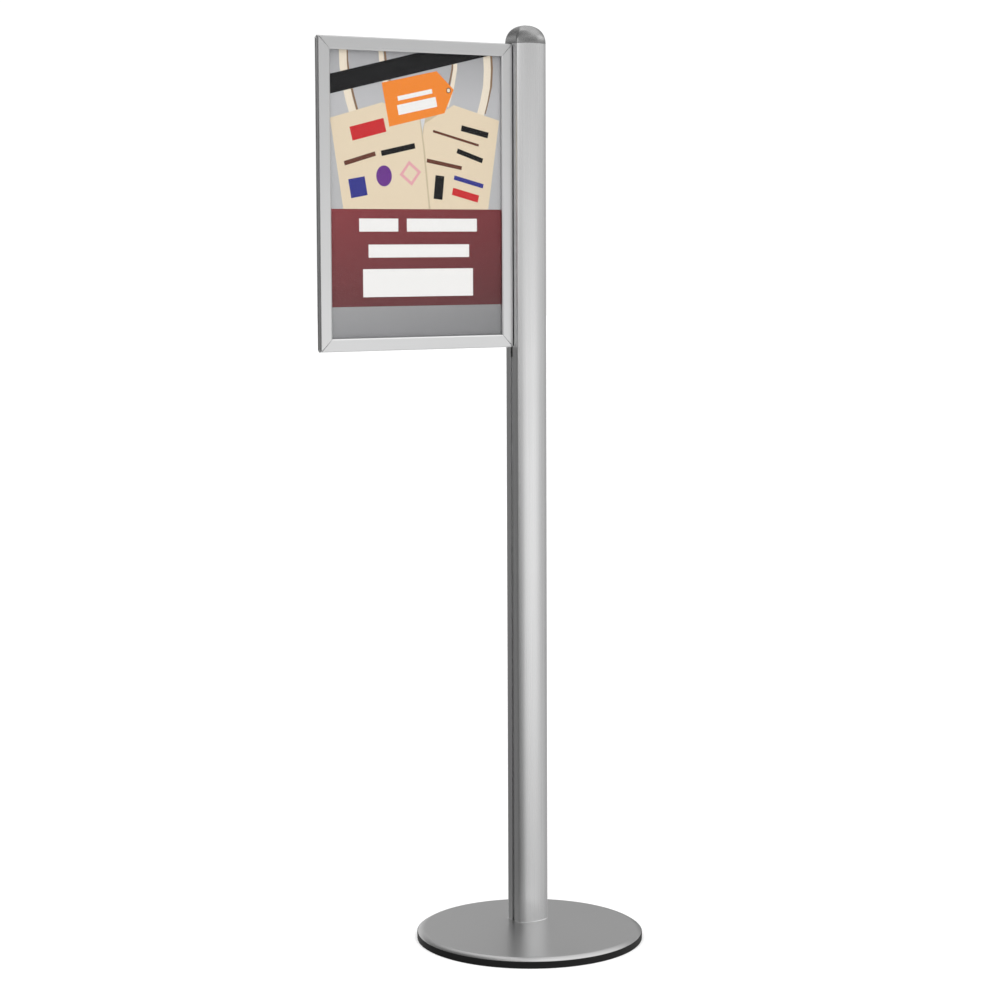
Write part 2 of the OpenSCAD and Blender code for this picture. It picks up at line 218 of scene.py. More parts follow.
def powder_metal(name, level, rough, tint=0.0, metallic=0.85, cell=1400, depth=0.006):
    """Satin painted metal: a fine pebble in the lacquer and metal flake in its tone."""
    made, n = new_material(name)
    coords = n.add("ShaderNodeTexCoord").outputs["Object"]
    scaled = n.vector("MULTIPLY", coords, (cell, cell, cell))
    flake = n.add("ShaderNodeTexVoronoi", {"Vector": scaled, "Scale": 1.0}).outputs["Distance"]
    clouds = n.noise((9, 9, 9), 3.0, 0.5)
    pebble = n.noise((cell * 0.4, cell * 0.4, cell * 0.4), 2.0)
    tone = n.blend(0.5, flake, clouds)
    n.surface(
        Base_Color=n.mix(
            n.spread(tone, 0.2, 0.8), grey(level * 0.95, tint), grey(level * 1.05, tint)
        ),
        Metallic=metallic,
        Roughness=n.spread(pebble, 0.3, 0.7, rough - 0.03, rough + 0.03),
        Normal=n.bump(pebble, depth * MM, 0.5),
    )
    return made


def moulded(name, colour, rough, cell=900, depth=0.02, spread=0.12, gloss=0.5):
    """Rubber or moulded plastic: fine pebble, slight cloudiness and scuffs in the roughness."""
    made, n = new_material(name)
    pebble = n.noise((cell, cell, cell), 2.0, 0.55)
    clouds = n.noise((14, 14, 14), 4.0, 0.6)
    dark = tuple(c * (1 - spread) for c in colour) + (1,)
    light = tuple(c * (1 + spread) for c in colour) + (1,)
    scuffs = n.blend(0.5, pebble, clouds)
    n.surface(
        Base_Color=n.mix(n.spread(clouds, 0.3, 0.7), dark, light),
        Roughness=n.spread(scuffs, 0.3, 0.7, rough - 0.06, rough + 0.06),
        Specular_IOR_Level=gloss,
        Normal=n.bump(pebble, depth * MM, 0.6),
    )
    return made


def printed(name, colour, shade=None, painted_side_shade=(1.06, 0.8)):
    """Printed paper: a faint ink mottle, paper fibre in the bump. shade is a list of
    (height, colour) from the lowest up. The last argument is painted shade: the colour's
    strength at the left and the right, darker towards the right."""
    made, n = new_material(name)
    where = n.add("ShaderNodeTexCoord").outputs["Object"]
    mottle = n.noise((240, 240, 240), 3.0, 0.6, where)
    fibre = n.noise((1800, 1800, 500), 2.0, 0.5, where)
    if shade is None:
        base = (*colour, 1)
    else:
        xyz = n.add("ShaderNodeSeparateXYZ", {0: where})
        low, high = shade[0][0], shade[-1][0]
        soft = n.math("ADD", xyz.outputs[2], n.spread(mottle, 0, 1, -0.002, 0.002))
        base = n.ramp(
            n.spread(soft, low, high), [((z - low) / (high - low), c) for z, c in shade]
        )
        # painted shade: the colour dimmed from the left edge to the right edge
        base = n.dimmed(base, n.spread(xyz.outputs[0], LEFT * MM, RIGHT * MM, *painted_side_shade))
    n.surface(
        Base_Color=n.dimmed(base, n.spread(mottle, 0.3, 0.7, 0.965, 1.02)),
        Roughness=n.spread(fibre, 0.3, 0.7, 0.5, 0.6),
        Specular_IOR_Level=0.12,
        Normal=n.bump(fibre, 0.004 * MM, 0.4),
    )
    return made


def srgb(r, g, b):
    """A linear colour from 0 to 255 display values."""
    return tuple(((c / 255 + 0.055) / 1.055) ** 2.4 if c > 10 else c / 3294.6 for c in (r, g, b))


anodised_z = streaked_metal("anodised_along_z", 0.66, 0.285, 2)
rail_metal = {
    "top": streaked_metal("rail_metal_along_x", 0.66, 0.3, 0),
    "left": streaked_metal("rail_metal_along_z", 0.66, 0.3, 2),
}
rail_metal["bottom"], rail_metal["right"] = rail_metal["top"], rail_metal["left"]
cap_satin = powder_metal("cap_satin", 0.25, 0.27, metallic=0.75, depth=0.004)
base_satin = streaked_metal("base_satin", 0.44, 0.31, 0, 0.02, 0.0)
rubber = moulded("rubber", (0.007, 0.007, 0.007), 0.55, gloss=0.2)
black_plastic = moulded("black_plastic", (0.03, 0.03, 0.03), 0.45)
primer = moulded("primer_steel", (0.09, 0.09, 0.1), 0.6, 500)
zinc = streaked_metal("zinc_plated", 0.55, 0.3, 2, 0.06, 0.02)
black_steel = powder_metal("blackened_steel", 0.05, 0.45)
foam_board = moulded("foam_board", (0.72, 0.72, 0.71), 0.6, 600, 0.01, 0.02)

# ---------------------------------------------------------------- mesh helpers


def piece(name, mesh_data, body, materials, replaced=()):
    """Turns bmesh or (vertices in mm, faces) into an object that rides on a body."""
    mesh = bpy.data.meshes.new(name)
    if isinstance(mesh_data, bmesh.types.BMesh):
        mesh_data.to_mesh(mesh)
        mesh_data.free()
    else:
        points, faces = mesh_data
        mesh.from_pydata([Vector(p) * MM for p in points], [], faces)
    mesh.validate()
    mesh.shade_smooth()
    for m in materials:
        mesh.materials.append(m)
    o = bpy.data.objects.new(name, mesh)
    scene.collection.objects.link(o)
    weighted = o.modifiers.new("weighted_normals", "WEIGHTED_NORMAL")
    weighted.keep_sharp = True
    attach(o, body)
    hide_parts(*replaced)
    return o


def solid(points, faces, materials=None):
    """A bmesh in metres of a shape in mm, its faces turned outwards."""
    bm = bmesh.new()
    verts = [bm.verts.new(Vector(p) * MM) for p in points]
    for k, face in enumerate(faces):
        made = bm.faces.new([verts[i] for i in face])
        if materials:
            made.material_index = materials[k]
    bmesh.ops.recalc_face_normals(bm, faces=bm.faces)
    return bm


def bevelled(points, faces, width, segments, angle):
    """The same with the edges sharper than an angle rounded."""
    bm = solid(points, faces)
    bm.normal_update()
    limit = math.radians(angle)
    sharp = [e for e in bm.edges if len(e.link_faces) == 2 and e.calc_face_angle(0) > limit]
    bmesh.ops.bevel(
        bm,
        geom=sharp,
        offset=width * MM,
        segments=segments,
        profile=0.5,
        affect="EDGES",
        clamp_overlap=True,
    )
    return bm


def arc(cx, cy, r, a0, a1, n):
    """Points on an arc, both ends included, angles in degrees."""
    return [
        (
            cx + r * math.cos(math.radians(a0 + (a1 - a0) * i / n)),
            cy + r * math.sin(math.radians(a0 + (a1 - a0) * i / n)),
        )
        for i in range(n + 1)
    ]


def lathe(profile, steps=256):
    """A closed profile of (radius, z), counter-clockwise, turned round Z. Radius 0 is a pole."""
    points, rows = [], []
    for r, z in profile:
        if r < 1e-9:
            rows.append([len(points)] * steps)
            points.append((0, 0, z))
        else:
            rows.append(list(range(len(points), len(points) + steps)))
            for k in range(steps):
                a = 2 * math.pi * k / steps
                points.append((r * math.cos(a), r * math.sin(a), z))
    faces = []
    for row, after in zip(rows, rows[1:] + rows[:1]):
        for k in range(steps):
            j = (k + 1) % steps
            ring = [row[k], row[j], after[j], after[k]]
            face = [p for i, p in enumerate(ring) if p not in ring[:i]]
            if len(face) > 2:
                faces.append(face)
    return points, faces


# ---------------------------------------------------------------- base

BASE_R = (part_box("rim_ring")[1].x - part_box("rim_ring")[0].x) / 2 / MM
BASE_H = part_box("base_cover")[1].z / MM
RIM_H = 14.2
COVER_T = 2
EDGE_R = 26
EDGE_TURN = 38
FLAT_R = BASE_R - 1.5 - EDGE_R * math.sin(math.radians(EDGE_TURN))
EDGE_Z = BASE_H - EDGE_R
PLATE_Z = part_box("base_plate")[0].z / MM


def make_base():
    hem = EDGE_R - COVER_T / 2
    end = math.radians(90 - EDGE_TURN)
    hem_at = (FLAT_R + hem * math.cos(end), EDGE_Z + hem * math.sin(end))
    outer = arc(FLAT_R, EDGE_Z, EDGE_R, 90, 90 - EDGE_TURN, 14)
    fold = arc(*hem_at, COVER_T / 2, 90 - EDGE_TURN, -90 - EDGE_TURN, 8)[1:-1]
    inner = arc(FLAT_R, EDGE_Z, EDGE_R - COVER_T, 90 - EDGE_TURN, 90, 10)
    rings = [(r, BASE_H) for r in (0, 60, 130, 190, FLAT_R - 1)]
    profile = rings + outer + fold + inner + [(0, BASE_H - COVER_T)]
    piece(
        "cover_disc", lathe(profile[::-1]), "stand", [base_satin], ["base_cover"]
    )
    under = arc(FLAT_R, EDGE_Z, EDGE_R - COVER_T - 0.3, 90 - EDGE_TURN, 89, 8)
    ledge = FLAT_R + 0.5 - 15
    profile = (
        [(ledge + 0.4, 0), (BASE_R - 1.6, 0)]
        + arc(BASE_R - 1.3, 1.3, 1.3, -80, -5, 5)
        + [(BASE_R, 3), (BASE_R, RIM_H - 3)]
        + arc(BASE_R - 1.1, RIM_H - 1.1, 1.1, 0, 100, 6)
        + under
        + [(FLAT_R + 0.5, PLATE_Z), (ledge, PLATE_Z), (ledge, 0.4)]
    )
    piece("rubber_edge", lathe(profile), "stand", [rubber], ["rim_ring"])


# ---------------------------------------------------------------- post and cap

HALF_W = (post_hi.x - post_lo.x) / 2 / MM
HALF_D = (post_hi.y - post_lo.y) / 2 / MM
FACE_R = 66
CORNER_R = 7
WALL = 2
MOUTH = 4.1
LIP = 2.5
ROOM_X = 5.5
ROOM_Y = 7.8
SLOT_WALL = 1.8
PORT_X, PORT_Y, PORT_R = 21, 23, 3.5
SEAM = post_hi.z / MM
FOOT = post_lo.z / MM
CAP_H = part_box("cap")[1].z / MM - SEAM
CAP_WALL = 2.4
CAP_POWER = 2 / 2.2


def quarter(inset, corner_steps=14, face_steps=24):
    """The outline from the middle of the right side up to the middle of the back, inset inwards."""
    cx = HALF_W - CORNER_R
    rise = math.sqrt((FACE_R - CORNER_R) ** 2 - cx * cx)
    turn = math.degrees(math.atan2(rise, cx))
    cy = HALF_D - FACE_R + rise
    corner = arc(cx, cy, CORNER_R - inset, 0, turn, corner_steps)
    face = arc(0, HALF_D - FACE_R, FACE_R - inset, turn, 90, face_steps)
    return corner + face[1:]


def outline(inset, **steps):
    """The whole outline, counter-clockwise from the right side."""
    first = quarter(inset, **steps)
    second = [(-x, y) for x, y in reversed(first[:-1])]
    half = first + second
    return half + [(-x, -y) for x, y in half]


def slotted(inset):
    """The post's outer outline with its two T slots."""
    first = quarter(inset)
    half = first + [(-x, y) for x, y in reversed(first[:-1])]
    side = HALF_W - inset
    nose = 0.35
    lip_in = HALF_W - LIP
    deep = lip_in - ROOM_X
    upper = (
        [(deep, ROOM_Y), (lip_in, ROOM_Y), (lip_in, MOUTH)]
        + arc(side - nose, MOUTH + nose, nose, -90, 0, 4)
    )
    start = [(deep, 0)] + upper
    end = [(-x, y) for x, y in reversed(upper)] + [(-deep, 0)]
    half = start + half + end
    return half[:-1] + [(-x, -y) for x, y in half[:-1]]


def cavity():
    """The hollow in the back half, between the skin, the slots' walls, the web and two ports."""
    boss = PORT_R + 1.7
    slot_in = HALF_W - LIP - ROOM_X - SLOT_WALL
    slot_y = ROOM_Y + SLOT_WALL
    skin_r = FACE_R - WALL
    skin_y = HALF_D - FACE_R
    away = math.hypot(PORT_X, PORT_Y - skin_y)
    to_boss = math.degrees(math.atan2(PORT_Y - skin_y, PORT_X))
    along = (skin_r**2 - boss**2 + away**2) / (2 * away)
    half_angle = math.degrees(math.acos(along / skin_r))
    meet = [
        (skin_r * math.cos(math.radians(a)), skin_y + skin_r * math.sin(math.radians(a)))
        for a in (to_boss - half_angle, to_boss + half_angle)
    ]
    a0, a1 = (math.degrees(math.atan2(y - PORT_Y, x - PORT_X)) for x, y in meet)
    round_boss = arc(PORT_X, PORT_Y, boss, a0, a1 - 360, 20)
    skin = [
        p
        for p in quarter(WALL, corner_steps=8, face_steps=16)
        if p[1] > slot_y and math.dist(p, (PORT_X, PORT_Y)) > boss + 0.05
    ]
    before = [p for p in skin if p[0] > PORT_X]
    after = [p for p in skin if p[0] < PORT_X]
    right_half = (
        [(0, SLOT_WALL / 2), (slot_in, SLOT_WALL / 2), (slot_in, slot_y), (HALF_W - WALL, slot_y)]
        + before
        + round_boss
        + after
    )
    return right_half + [(-x, y) for x, y in reversed(right_half[1:-1])]


def prism(outer_at, holes, levels):
    """A straight section with holes. outer_at gives the outer loop for each level's inset."""
    points, faces, rings = [], [], []
    for z, inset in levels:
        loop = outer_at(inset)
        rings.append(list(range(len(points), len(points) + len(loop))))
        points += [(x, y, z) for x, y in loop]
    for low, high in zip(rings, rings[1:]):
        n = len(low)
        faces += [[low[k], low[(k + 1) % n], high[(k + 1) % n], high[k]] for k in range(n)]
    ends = []
    for z in (levels[0][0], levels[-1][0]):
        loops = []
        for hole in holes:
            loops.append(list(range(len(points), len(points) + len(hole))))
            points += [(x, y, z) for x, y in hole]
        ends.append(loops)
    for low, high in zip(*ends):
        n = len(low)
        faces += [[high[k], high[(k + 1) % n], low[(k + 1) % n], low[k]] for k in range(n)]
    for ring, loops, flip in ((rings[0], ends[0], True), (rings[-1], ends[1], False)):
        order = ring + [i for loop in loops for i in loop]
        shape = [[Vector(points[i]) for i in loop] for loop in (ring, *loops)]
        for a, b, c in tessellate_polygon(shape):
            face = [order[a], order[b], order[c]]
            faces.append(face[::-1] if flip else face)
    return solid(points, faces)


def make_post():
    back = cavity()
    front = [(-x, -y) for x, y in back]
    ports = [
        [(sx * PORT_X + x, sy * PORT_Y + y) for x, y in arc(0, 0, PORT_R, 0, 345, 23)]
        for sx in (-1, 1)
        for sy in (-1, 1)
    ]
    levels = [
        (FOOT, -0.8),
        (FOOT + 0.15, -0.78),
        (FOOT + 0.4, -0.42),
        (FOOT + 0.65, -0.12),
        (FOOT + 1.0, 0),
        (SEAM - 0.45, 0),
        (SEAM - 0.15, 0.12),
        (SEAM, 0.4),
    ]
    bm = prism(slotted, [back, front, *ports], levels)
    bmesh.ops.translate(bm, vec=(POST_X, POST_Y, 0), verts=bm.verts)
    piece("post_extrusion", bm, "stand", [anodised_z], ["post"])


def dome(loop, height, rings, first):
    """The loop drawn in over a superellipse, from a ring number up: (loop, z) for each ring."""
    loops = []
    for k in range(first, rings):
        t = math.radians(90 * k / rings)
        s, z = math.cos(t) ** CAP_POWER, height * math.sin(t) ** CAP_POWER
        loops.append(([(x * s, y * s) for x, y in loop], z))
    return loops


def make_cap():
    steps = {"corner_steps": 16, "face_steps": 26}
    full = outline(0, **steps)
    seam_round = [(outline(0.35, **steps), 0), (outline(0.1, **steps), 0.12), (full, 0.4)]
    outer_loops = seam_round + [ring for ring in dome(full, CAP_H, 40, 1) if ring[1] > 0.4]
    inner_h = CAP_H - CAP_WALL
    inner_loops = dome(outline(CAP_WALL, **steps), inner_h, 16, 0)
    points, faces = [], []

    def skin(loops, top):
        rows = []
        for loop, z in loops:
            rows.append(list(range(len(points), len(points) + len(loop))))
            points.extend((x + POST_X / MM, y + POST_Y / MM, z + SEAM) for x, y in loop)
        for low, high in zip(rows, rows[1:]):
            n = len(low)
            faces.extend(
                [low[k], low[(k + 1) % n], high[(k + 1) % n], high[k]] for k in range(n)
            )
        points.append((POST_X / MM, POST_Y / MM, SEAM + top))
        n = len(rows[-1])
        faces.extend([rows[-1][k], rows[-1][(k + 1) % n], len(points) - 1] for k in range(n))
        return rows[0]

    low_out = skin(outer_loops, CAP_H)
    low_in = skin(inner_loops, inner_h)
    n = len(low_out)
    faces.extend(
        [low_out[k], low_in[k], low_in[(k + 1) % n], low_out[(k + 1) % n]] for k in range(n)
    )
    piece("dome_cap", solid(points, faces), "stand", [cap_satin], ["cap"])


# ---------------------------------------------------------------- snap rails

RAIL_W = 25
HALF_T = 8.5
rail_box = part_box("front_rail_left")
LEFT = rail_box[0].x / MM
BOTTOM = rail_box[0].z / MM
TOP = rail_box[1].z / MM
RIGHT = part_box("front_rail_right")[1].x / MM
MID_Y = POST_Y / MM
MITRE = 0.2
PIVOT_U, PIVOT_W = 3, 5.7
RAIL_T = 1.2
LIP_BOTTOM = 2.95
BEAD_END = 14
CATCH = [(12.4, 7.5), (12.4, 6.3), (13.2, 6.3), (13.2, 7.5)]


def rail_profile():
    """(u, w) round the rail's plate with both lips: u inwards from the frame's edge, w outwards."""
    under = HALF_T - RAIL_T
    return (
        [(0, PIVOT_W - 0.7)]
        + arc(0.8, HALF_T - 0.8, 0.8, 180, 90, 6)
        + [(RAIL_W - 2.75, HALF_T)]
        + arc(RAIL_W - 2.6, HALF_T - 0.12, 0.12, 80, 40, 2)
        + arc(RAIL_W - 0.25, 7.02, 0.25, 60, 0, 4)
        + [(RAIL_W, LIP_BOTTOM), (RAIL_W - 1.8, LIP_BOTTOM)]
        + [(RAIL_W - 1.8, under - 0.6), (RAIL_W - 3.4, under)]
        + [(0.95, under), (0.95, PIVOT_W - 0.7)]
    )


def bead_profile():
    """The hinge bead with its neck."""
    return [(PIVOT_U - 0.45, HALF_T - RAIL_T + 0.2)] + arc(
        PIVOT_U, PIVOT_W, 1, 117, 423, 20
    ) + [(PIVOT_U + 0.45, HALF_T - RAIL_T + 0.2)]


def swept(profile, length, start):
    """A (u, w) profile swept along s; start gives where an end lies for each (u, w)."""
    n = len(profile)
    points = [(u, w, start(u, w)) for u, w in profile]
    points += [(u, w, length - start(u, w)) for u, w in profile]
    faces = [[k, (k + 1) % n, n + (k + 1) % n, n + k] for k in range(n)]
    faces += [list(range(n))[::-1], [n + k for k in range(n)]]
    return points, faces


def placed(side, face, p):
    """Where (u, w, s) of a rail lies in the row frame, in mm."""
    u, w, s = p
    y = MID_Y + (w if face == "back" else -w)
    if side == "left":
        return LEFT + u, y, BOTTOM + s
    if side == "right":
        return RIGHT - u, y, BOTTOM + s
    if side == "bottom":
        return LEFT + s, y, BOTTOM + u
    return LEFT + s, y, TOP - u


def mitre(u, w):
    """A rail's mitre, with the outer corner cut off on a slant as in the part."""
    corner = 1.5 if w > HALF_T - 0.8 else 1.5 + 2.4 * (HALF_T - 0.8 - w) / (HALF_T - 5.8)
    return max(MITRE + u, corner if u < 1 else 0)


def make_rails():
    for face in ("front", "back"):
        for side in ("top", "bottom", "left", "right"):
            length = RIGHT - LEFT if side in ("top", "bottom") else TOP - BOTTOM
            points, faces = swept(rail_profile(), length, mitre)
            plate = bevelled([placed(side, face, p) for p in points], faces, 0.14, 2, 40)
            points, faces = swept(bead_profile(), length, lambda u, w: BEAD_END)
            bead = bevelled([placed(side, face, p) for p in points], faces, 0.05, 1, 80)
            points, faces = swept(CATCH, length, lambda u, w: BEAD_END)
            catch = bevelled([placed(side, face, p) for p in points], faces, 0.1, 2, 60)
            whole = bpy.data.meshes.new("part")
            for part in (bead, catch):
                part.to_mesh(whole)
                part.free()
                plate.from_mesh(whole)
            bpy.data.meshes.remove(whole)
            node = f"{face}_rail_{side}"
            piece(f"snap_{node}", plate, node, [rail_metal[side]], [node])


# ---------------------------------------------------------------- posters

SHEET = 15
SHEET_W = RIGHT - LEFT - 2 * SHEET
SHEET_H = TOP - BOTTOM - 2 * SHEET
SHEET_W0, SHEET_T = 1.5, 0.3
HIDDEN = 10  # of the sheet under each rail

INKS = [
    printed(
        "print_backdrop",
        None,
        [
            (BOTTOM * MM, srgb(180, 180, 182)),
            ((TOP - 330) * MM, srgb(190, 190, 191)),
            ((TOP - 120) * MM, srgb(194, 194, 196)),
            (TOP * MM, srgb(163, 163, 165)),
        ],
        # painted shade: the backdrop a little darker towards the right
        (0.99, 0.97),
    ),
    printed("print_cream", srgb(233, 216, 188)),
    printed("print_cream_light", srgb(240, 228, 208)),
    printed("print_cream_shade", srgb(206, 190, 160)),
    printed("print_tan", srgb(140, 112, 86)),
    printed("print_backdrop_light", srgb(214, 215, 218)),
    # painted shade: the default side shade darkens this band towards the right
    printed(
        "print_grey_band",
        None,
        [((TOP - 600) * MM, srgb(148, 148, 150)), ((TOP - 535) * MM, srgb(158, 158, 159))],
    ),
    printed("print_black", srgb(15, 14, 15)),
    printed("print_orange", srgb(246, 140, 50)),
    # painted shade: the default side shade darkens this band towards the right
    printed(
        "print_maroon",
        None,
        [((TOP - 535) * MM, srgb(108, 59, 61)), ((TOP - 335) * MM, srgb(134, 60, 64))],
    ),
    printed("print_white", srgb(246, 245, 243)),
    printed("print_red", srgb(205, 44, 48)),
    printed("print_violet", srgb(108, 54, 140)),
    printed("print_blue", srgb(54, 56, 140)),
    printed("print_brown", srgb(104, 60, 46)),
    printed("print_pink", srgb(232, 170, 176)),
    printed("print_paper", srgb(238, 237, 234)),
]
INK = {m.name.removeprefix("print_"): k for k, m in enumerate(INKS)}


def turned(cx, cy, w, h, degrees):
    """A rectangle's corners, turned clockwise as seen with y downwards."""
    c, s = math.cos(math.radians(degrees)), math.sin(math.radians(degrees))
    return [
        (cx + x * c - y * s, cy + x * s + y * c)
        for x, y in ((-w / 2, -h / 2), (w / 2, -h / 2), (w / 2, h / 2), (-w / 2, h / 2))
    ]


def strap(points, width):
    """A strap of even width along a line of points."""
    left, right_side = [], []
    for k, p in enumerate(points):
        a, b = points[max(k - 1, 0)], points[min(k + 1, len(points) - 1)]
        run = math.dist(a, b)
        nx, ny = -(b[1] - a[1]) / run, (b[0] - a[0]) / run
        left.append((p[0] + nx * width / 2, p[1] + ny * width / 2))
        right_side.append((p[0] - nx * width / 2, p[1] - ny * width / 2))
    return left + right_side[::-1]


def disc(cx, cy, rx, ry, n=28):
    return [
        (cx + rx * math.cos(2 * math.pi * k / n), cy + ry * math.sin(2 * math.pi * k / n))
        for k in range(n)
    ]


def artwork():
    """The poster's plain shapes, lowest first, in mm right and down from the opening's corner."""
    return [
        ("tan", strap([(41, -10), (42, 20), (46, 50), (55, 88), (64, 118)], 5)),
        ("cream_light", strap([(32, -10), (33, 30), (38, 65), (46, 98), (54, 122)], 17)),
        ("tan", strap([(127, -10), (130, 20), (138, 55), (150, 90)], 5)),
        ("cream_light", strap([(118, -10), (121, 25), (129, 60), (141, 95)], 11)),
        ("tan", strap([(286, 0), (285, 30), (278, 60), (268, 90)], 4)),
        ("cream_light", strap([(293, 0), (292, 30), (285, 65), (272, 105)], 9)),
        ("tan", strap([(378, -10), (380, 25), (378, 60), (370, 92), (362, 118)], 5)),
        ("cream_light", strap([(367, -10), (369, 30), (367, 62), (360, 94), (352, 120)], 17)),
        ("cream_shade", [(213, 140), (219, 120), (300, 120), (300, 318), (227, 318)]),
        ("cream", [(219, 141), (213, 178), (233, 318), (369, 318), (397, 131), (288, 102)]),
        ("backdrop_light", [(207, 124), (222, 122), (218, 141), (211, 168)]),
        ("cream", [(2, 134), (120, 101), (206, 122), (216, 190), (229, 318), (31, 318)]),
        ("cream_shade", [(206, 122), (208, 124), (219, 190), (232, 318), (228, 318), (215, 190)]),
        ("black", [(-10, 51), (245, -10), (410, -10), (410, -9), (-10, 90)]),
        ("orange", [(120, 62), (248, 35), (288, 71), (266, 119), (137, 149)]),
        ("brown", disc(276, 73, 5.5, 5.5)),
        ("cream_light", disc(276, 73, 3.8, 3.8)),
        ("white", turned(197, 84, 82, 9, -12)),
        ("white", turned(202, 106, 92, 20, -12)),
        ("red", turned(88, 155, 80, 28, -14)),
        ("brown", turned(69, 213, 74, 9, -16)),
        ("black", turned(157, 194, 80, 11, -12)),
        ("blue", turned(64, 270, 38, 38, -10)),
        ("violet", disc(124, 247, 18, 21)),
        ("pink", turned(185, 241, 36, 36, 38)),
        ("cream", turned(185, 241, 24, 24, 38)),
        ("black", turned(338, 155, 66, 12, 12)),
        ("brown", turned(293, 169, 112, 5, 14)),
        ("black", turned(326, 204, 64, 10, 18)),
        ("brown", turned(265, 222, 84, 8, 10)),
        ("black", turned(252, 269, 21, 48, 6)),
        ("blue", turned(323, 257, 72, 9, 14)),
        ("red", turned(315, 284, 64, 15, 14)),
        ("maroon", [(-10, 313), (410, 313), (410, 508), (-10, 508)]),
        ("grey_band", [(-10, 508), (410, 508), (410, 584), (-10, 584)]),
        ("white", turned(111, 345, 90, 26, 0)),
        ("white", turned(259, 345, 166, 26, 0)),
        ("white", turned(205, 397, 236, 26, 0)),
        ("white", turned(203, 461, 258, 56, 0)),
    ]


def make_poster(face):
    def on_sheet(x, y):
        return min(max(x + HIDDEN, 0), SHEET_W), min(max(y + HIDDEN, 0), SHEET_H)

    sheet = [(0, 0), (SHEET_W, 0), (SHEET_W, SHEET_H), (0, SHEET_H)]
    shapes = [("backdrop", sheet)]
    shapes += [(ink, [on_sheet(x, y) for x, y in shape]) for ink, shape in artwork()]
    flat, loops = [], []
    for _, shape in shapes:
        clean = [p for k, p in enumerate(shape) if math.dist(p, shape[k - 1]) > 1e-6]
        area = sum(a[0] * b[1] - b[0] * a[1] for a, b in zip(clean, clean[1:] + clean[:1]))
        if area < 0:
            clean.reverse()
        loops.append(list(range(len(flat), len(flat) + len(clean))))
        flat += [Vector(p) for p in clean]
    points, _, triangles, _, _, owners = delaunay_2d_cdt(flat, [], loops, 1, 1e-5)
    count = len(points)
    sides = [(a, b) for t in triangles for a, b in zip(t, t[1:] + t[:1])]
    known = set(sides)
    rim = [(a, b) for a, b in sides if (b, a) not in known]

    def at(p, w):
        x, z = LEFT + SHEET + p.x, TOP - SHEET - p.y
        if face == "back":
            return LEFT + RIGHT - x, MID_Y + w, z
        return x, MID_Y - w, z

    all_points = [at(p, SHEET_W0 + SHEET_T) for p in points] + [at(p, SHEET_W0) for p in points]
    faces = [list(t) for t in triangles]
    inks = [INK[shapes[max(own)][0]] for own in owners]
    faces += [[count + k for k in t[::-1]] for t in triangles]
    inks += [INK["paper"]] * len(triangles)
    faces += [[b, a, count + a, count + b] for a, b in rim]
    inks += [INK["paper"]] * len(rim)
    bm = solid(all_points, faces, inks)
    piece(
        f"printed_poster_{face}", bm, "sign_frame", INKS, [f"poster_{face}"]
    )


# ---------------------------------------------------------------- clear covers


def clear_sheet_material():
    made, n = new_material("clear_sheet")
    haze = n.noise((160, 160, 160), 3.0, 0.6)
    n.surface(
        Base_Color=(0.1, 0.105, 0.11, 1),
        Roughness=n.spread(haze, 0.3, 0.7, 0.16, 0.24),
        Alpha=0.05,
        IOR=1.49,
    )
    return made


def paint_cad():
    """Materials for the CAD nodes that stay as they are."""
    clear = clear_sheet_material()
    finishes = {
        "base_plate": primer,
        "floor_pads": rubber,
        "base_bolts": zinc,
        "base_washers": zinc,
        "cap_plug": black_plastic,
        "core_top": rail_metal["top"],
        "core_bottom": rail_metal["bottom"],
        "core_left": rail_metal["left"],
        "core_right": rail_metal["right"],
        "corner_keys": zinc,
        "key_screws": zinc,
        "mount_brackets": zinc,
        "bracket_screws": zinc,
        "stop_nut": black_steel,
        "stop_screw": black_steel,
        "backing_panel": foam_board,
        "cover_front": clear,
        "cover_back": clear,
        "springs_front": zinc,
        "springs_back": zinc,
    }
    for name, finish in finishes.items():
        o = nodes[name]
        o.data.materials.clear()
        o.data.materials.append(finish)


make_base()
make_post()
make_cap()
make_rails()
make_poster("front")
make_poster("back")
paint_cad()

# ---------------------------------------------------------------- floor, world and lights


def make_floor():
    mesh = bpy.data.meshes.new("floor")
    far = 40
    corners = [(-far, -far, 0), (far, -far, 0), (far, far, 0), (-far, far, 0)]
    mesh.from_pydata(corners, [], [[0, 1, 2, 3]])
    floor = bpy.data.objects.new("floor", mesh)
    scene.collection.objects.link(floor)
    made, n = new_material("floor_white")
    n.surface(
        Base_Color=(0.9, 0.9, 0.9, 1),
        Roughness=0.9,
        Specular_IOR_Level=0.0,
        Emission_Color=(1, 1, 1, 1),
        Emission_Strength=0.12,
    )
    mesh.materials.append(made)
    floor.visible_glossy = False


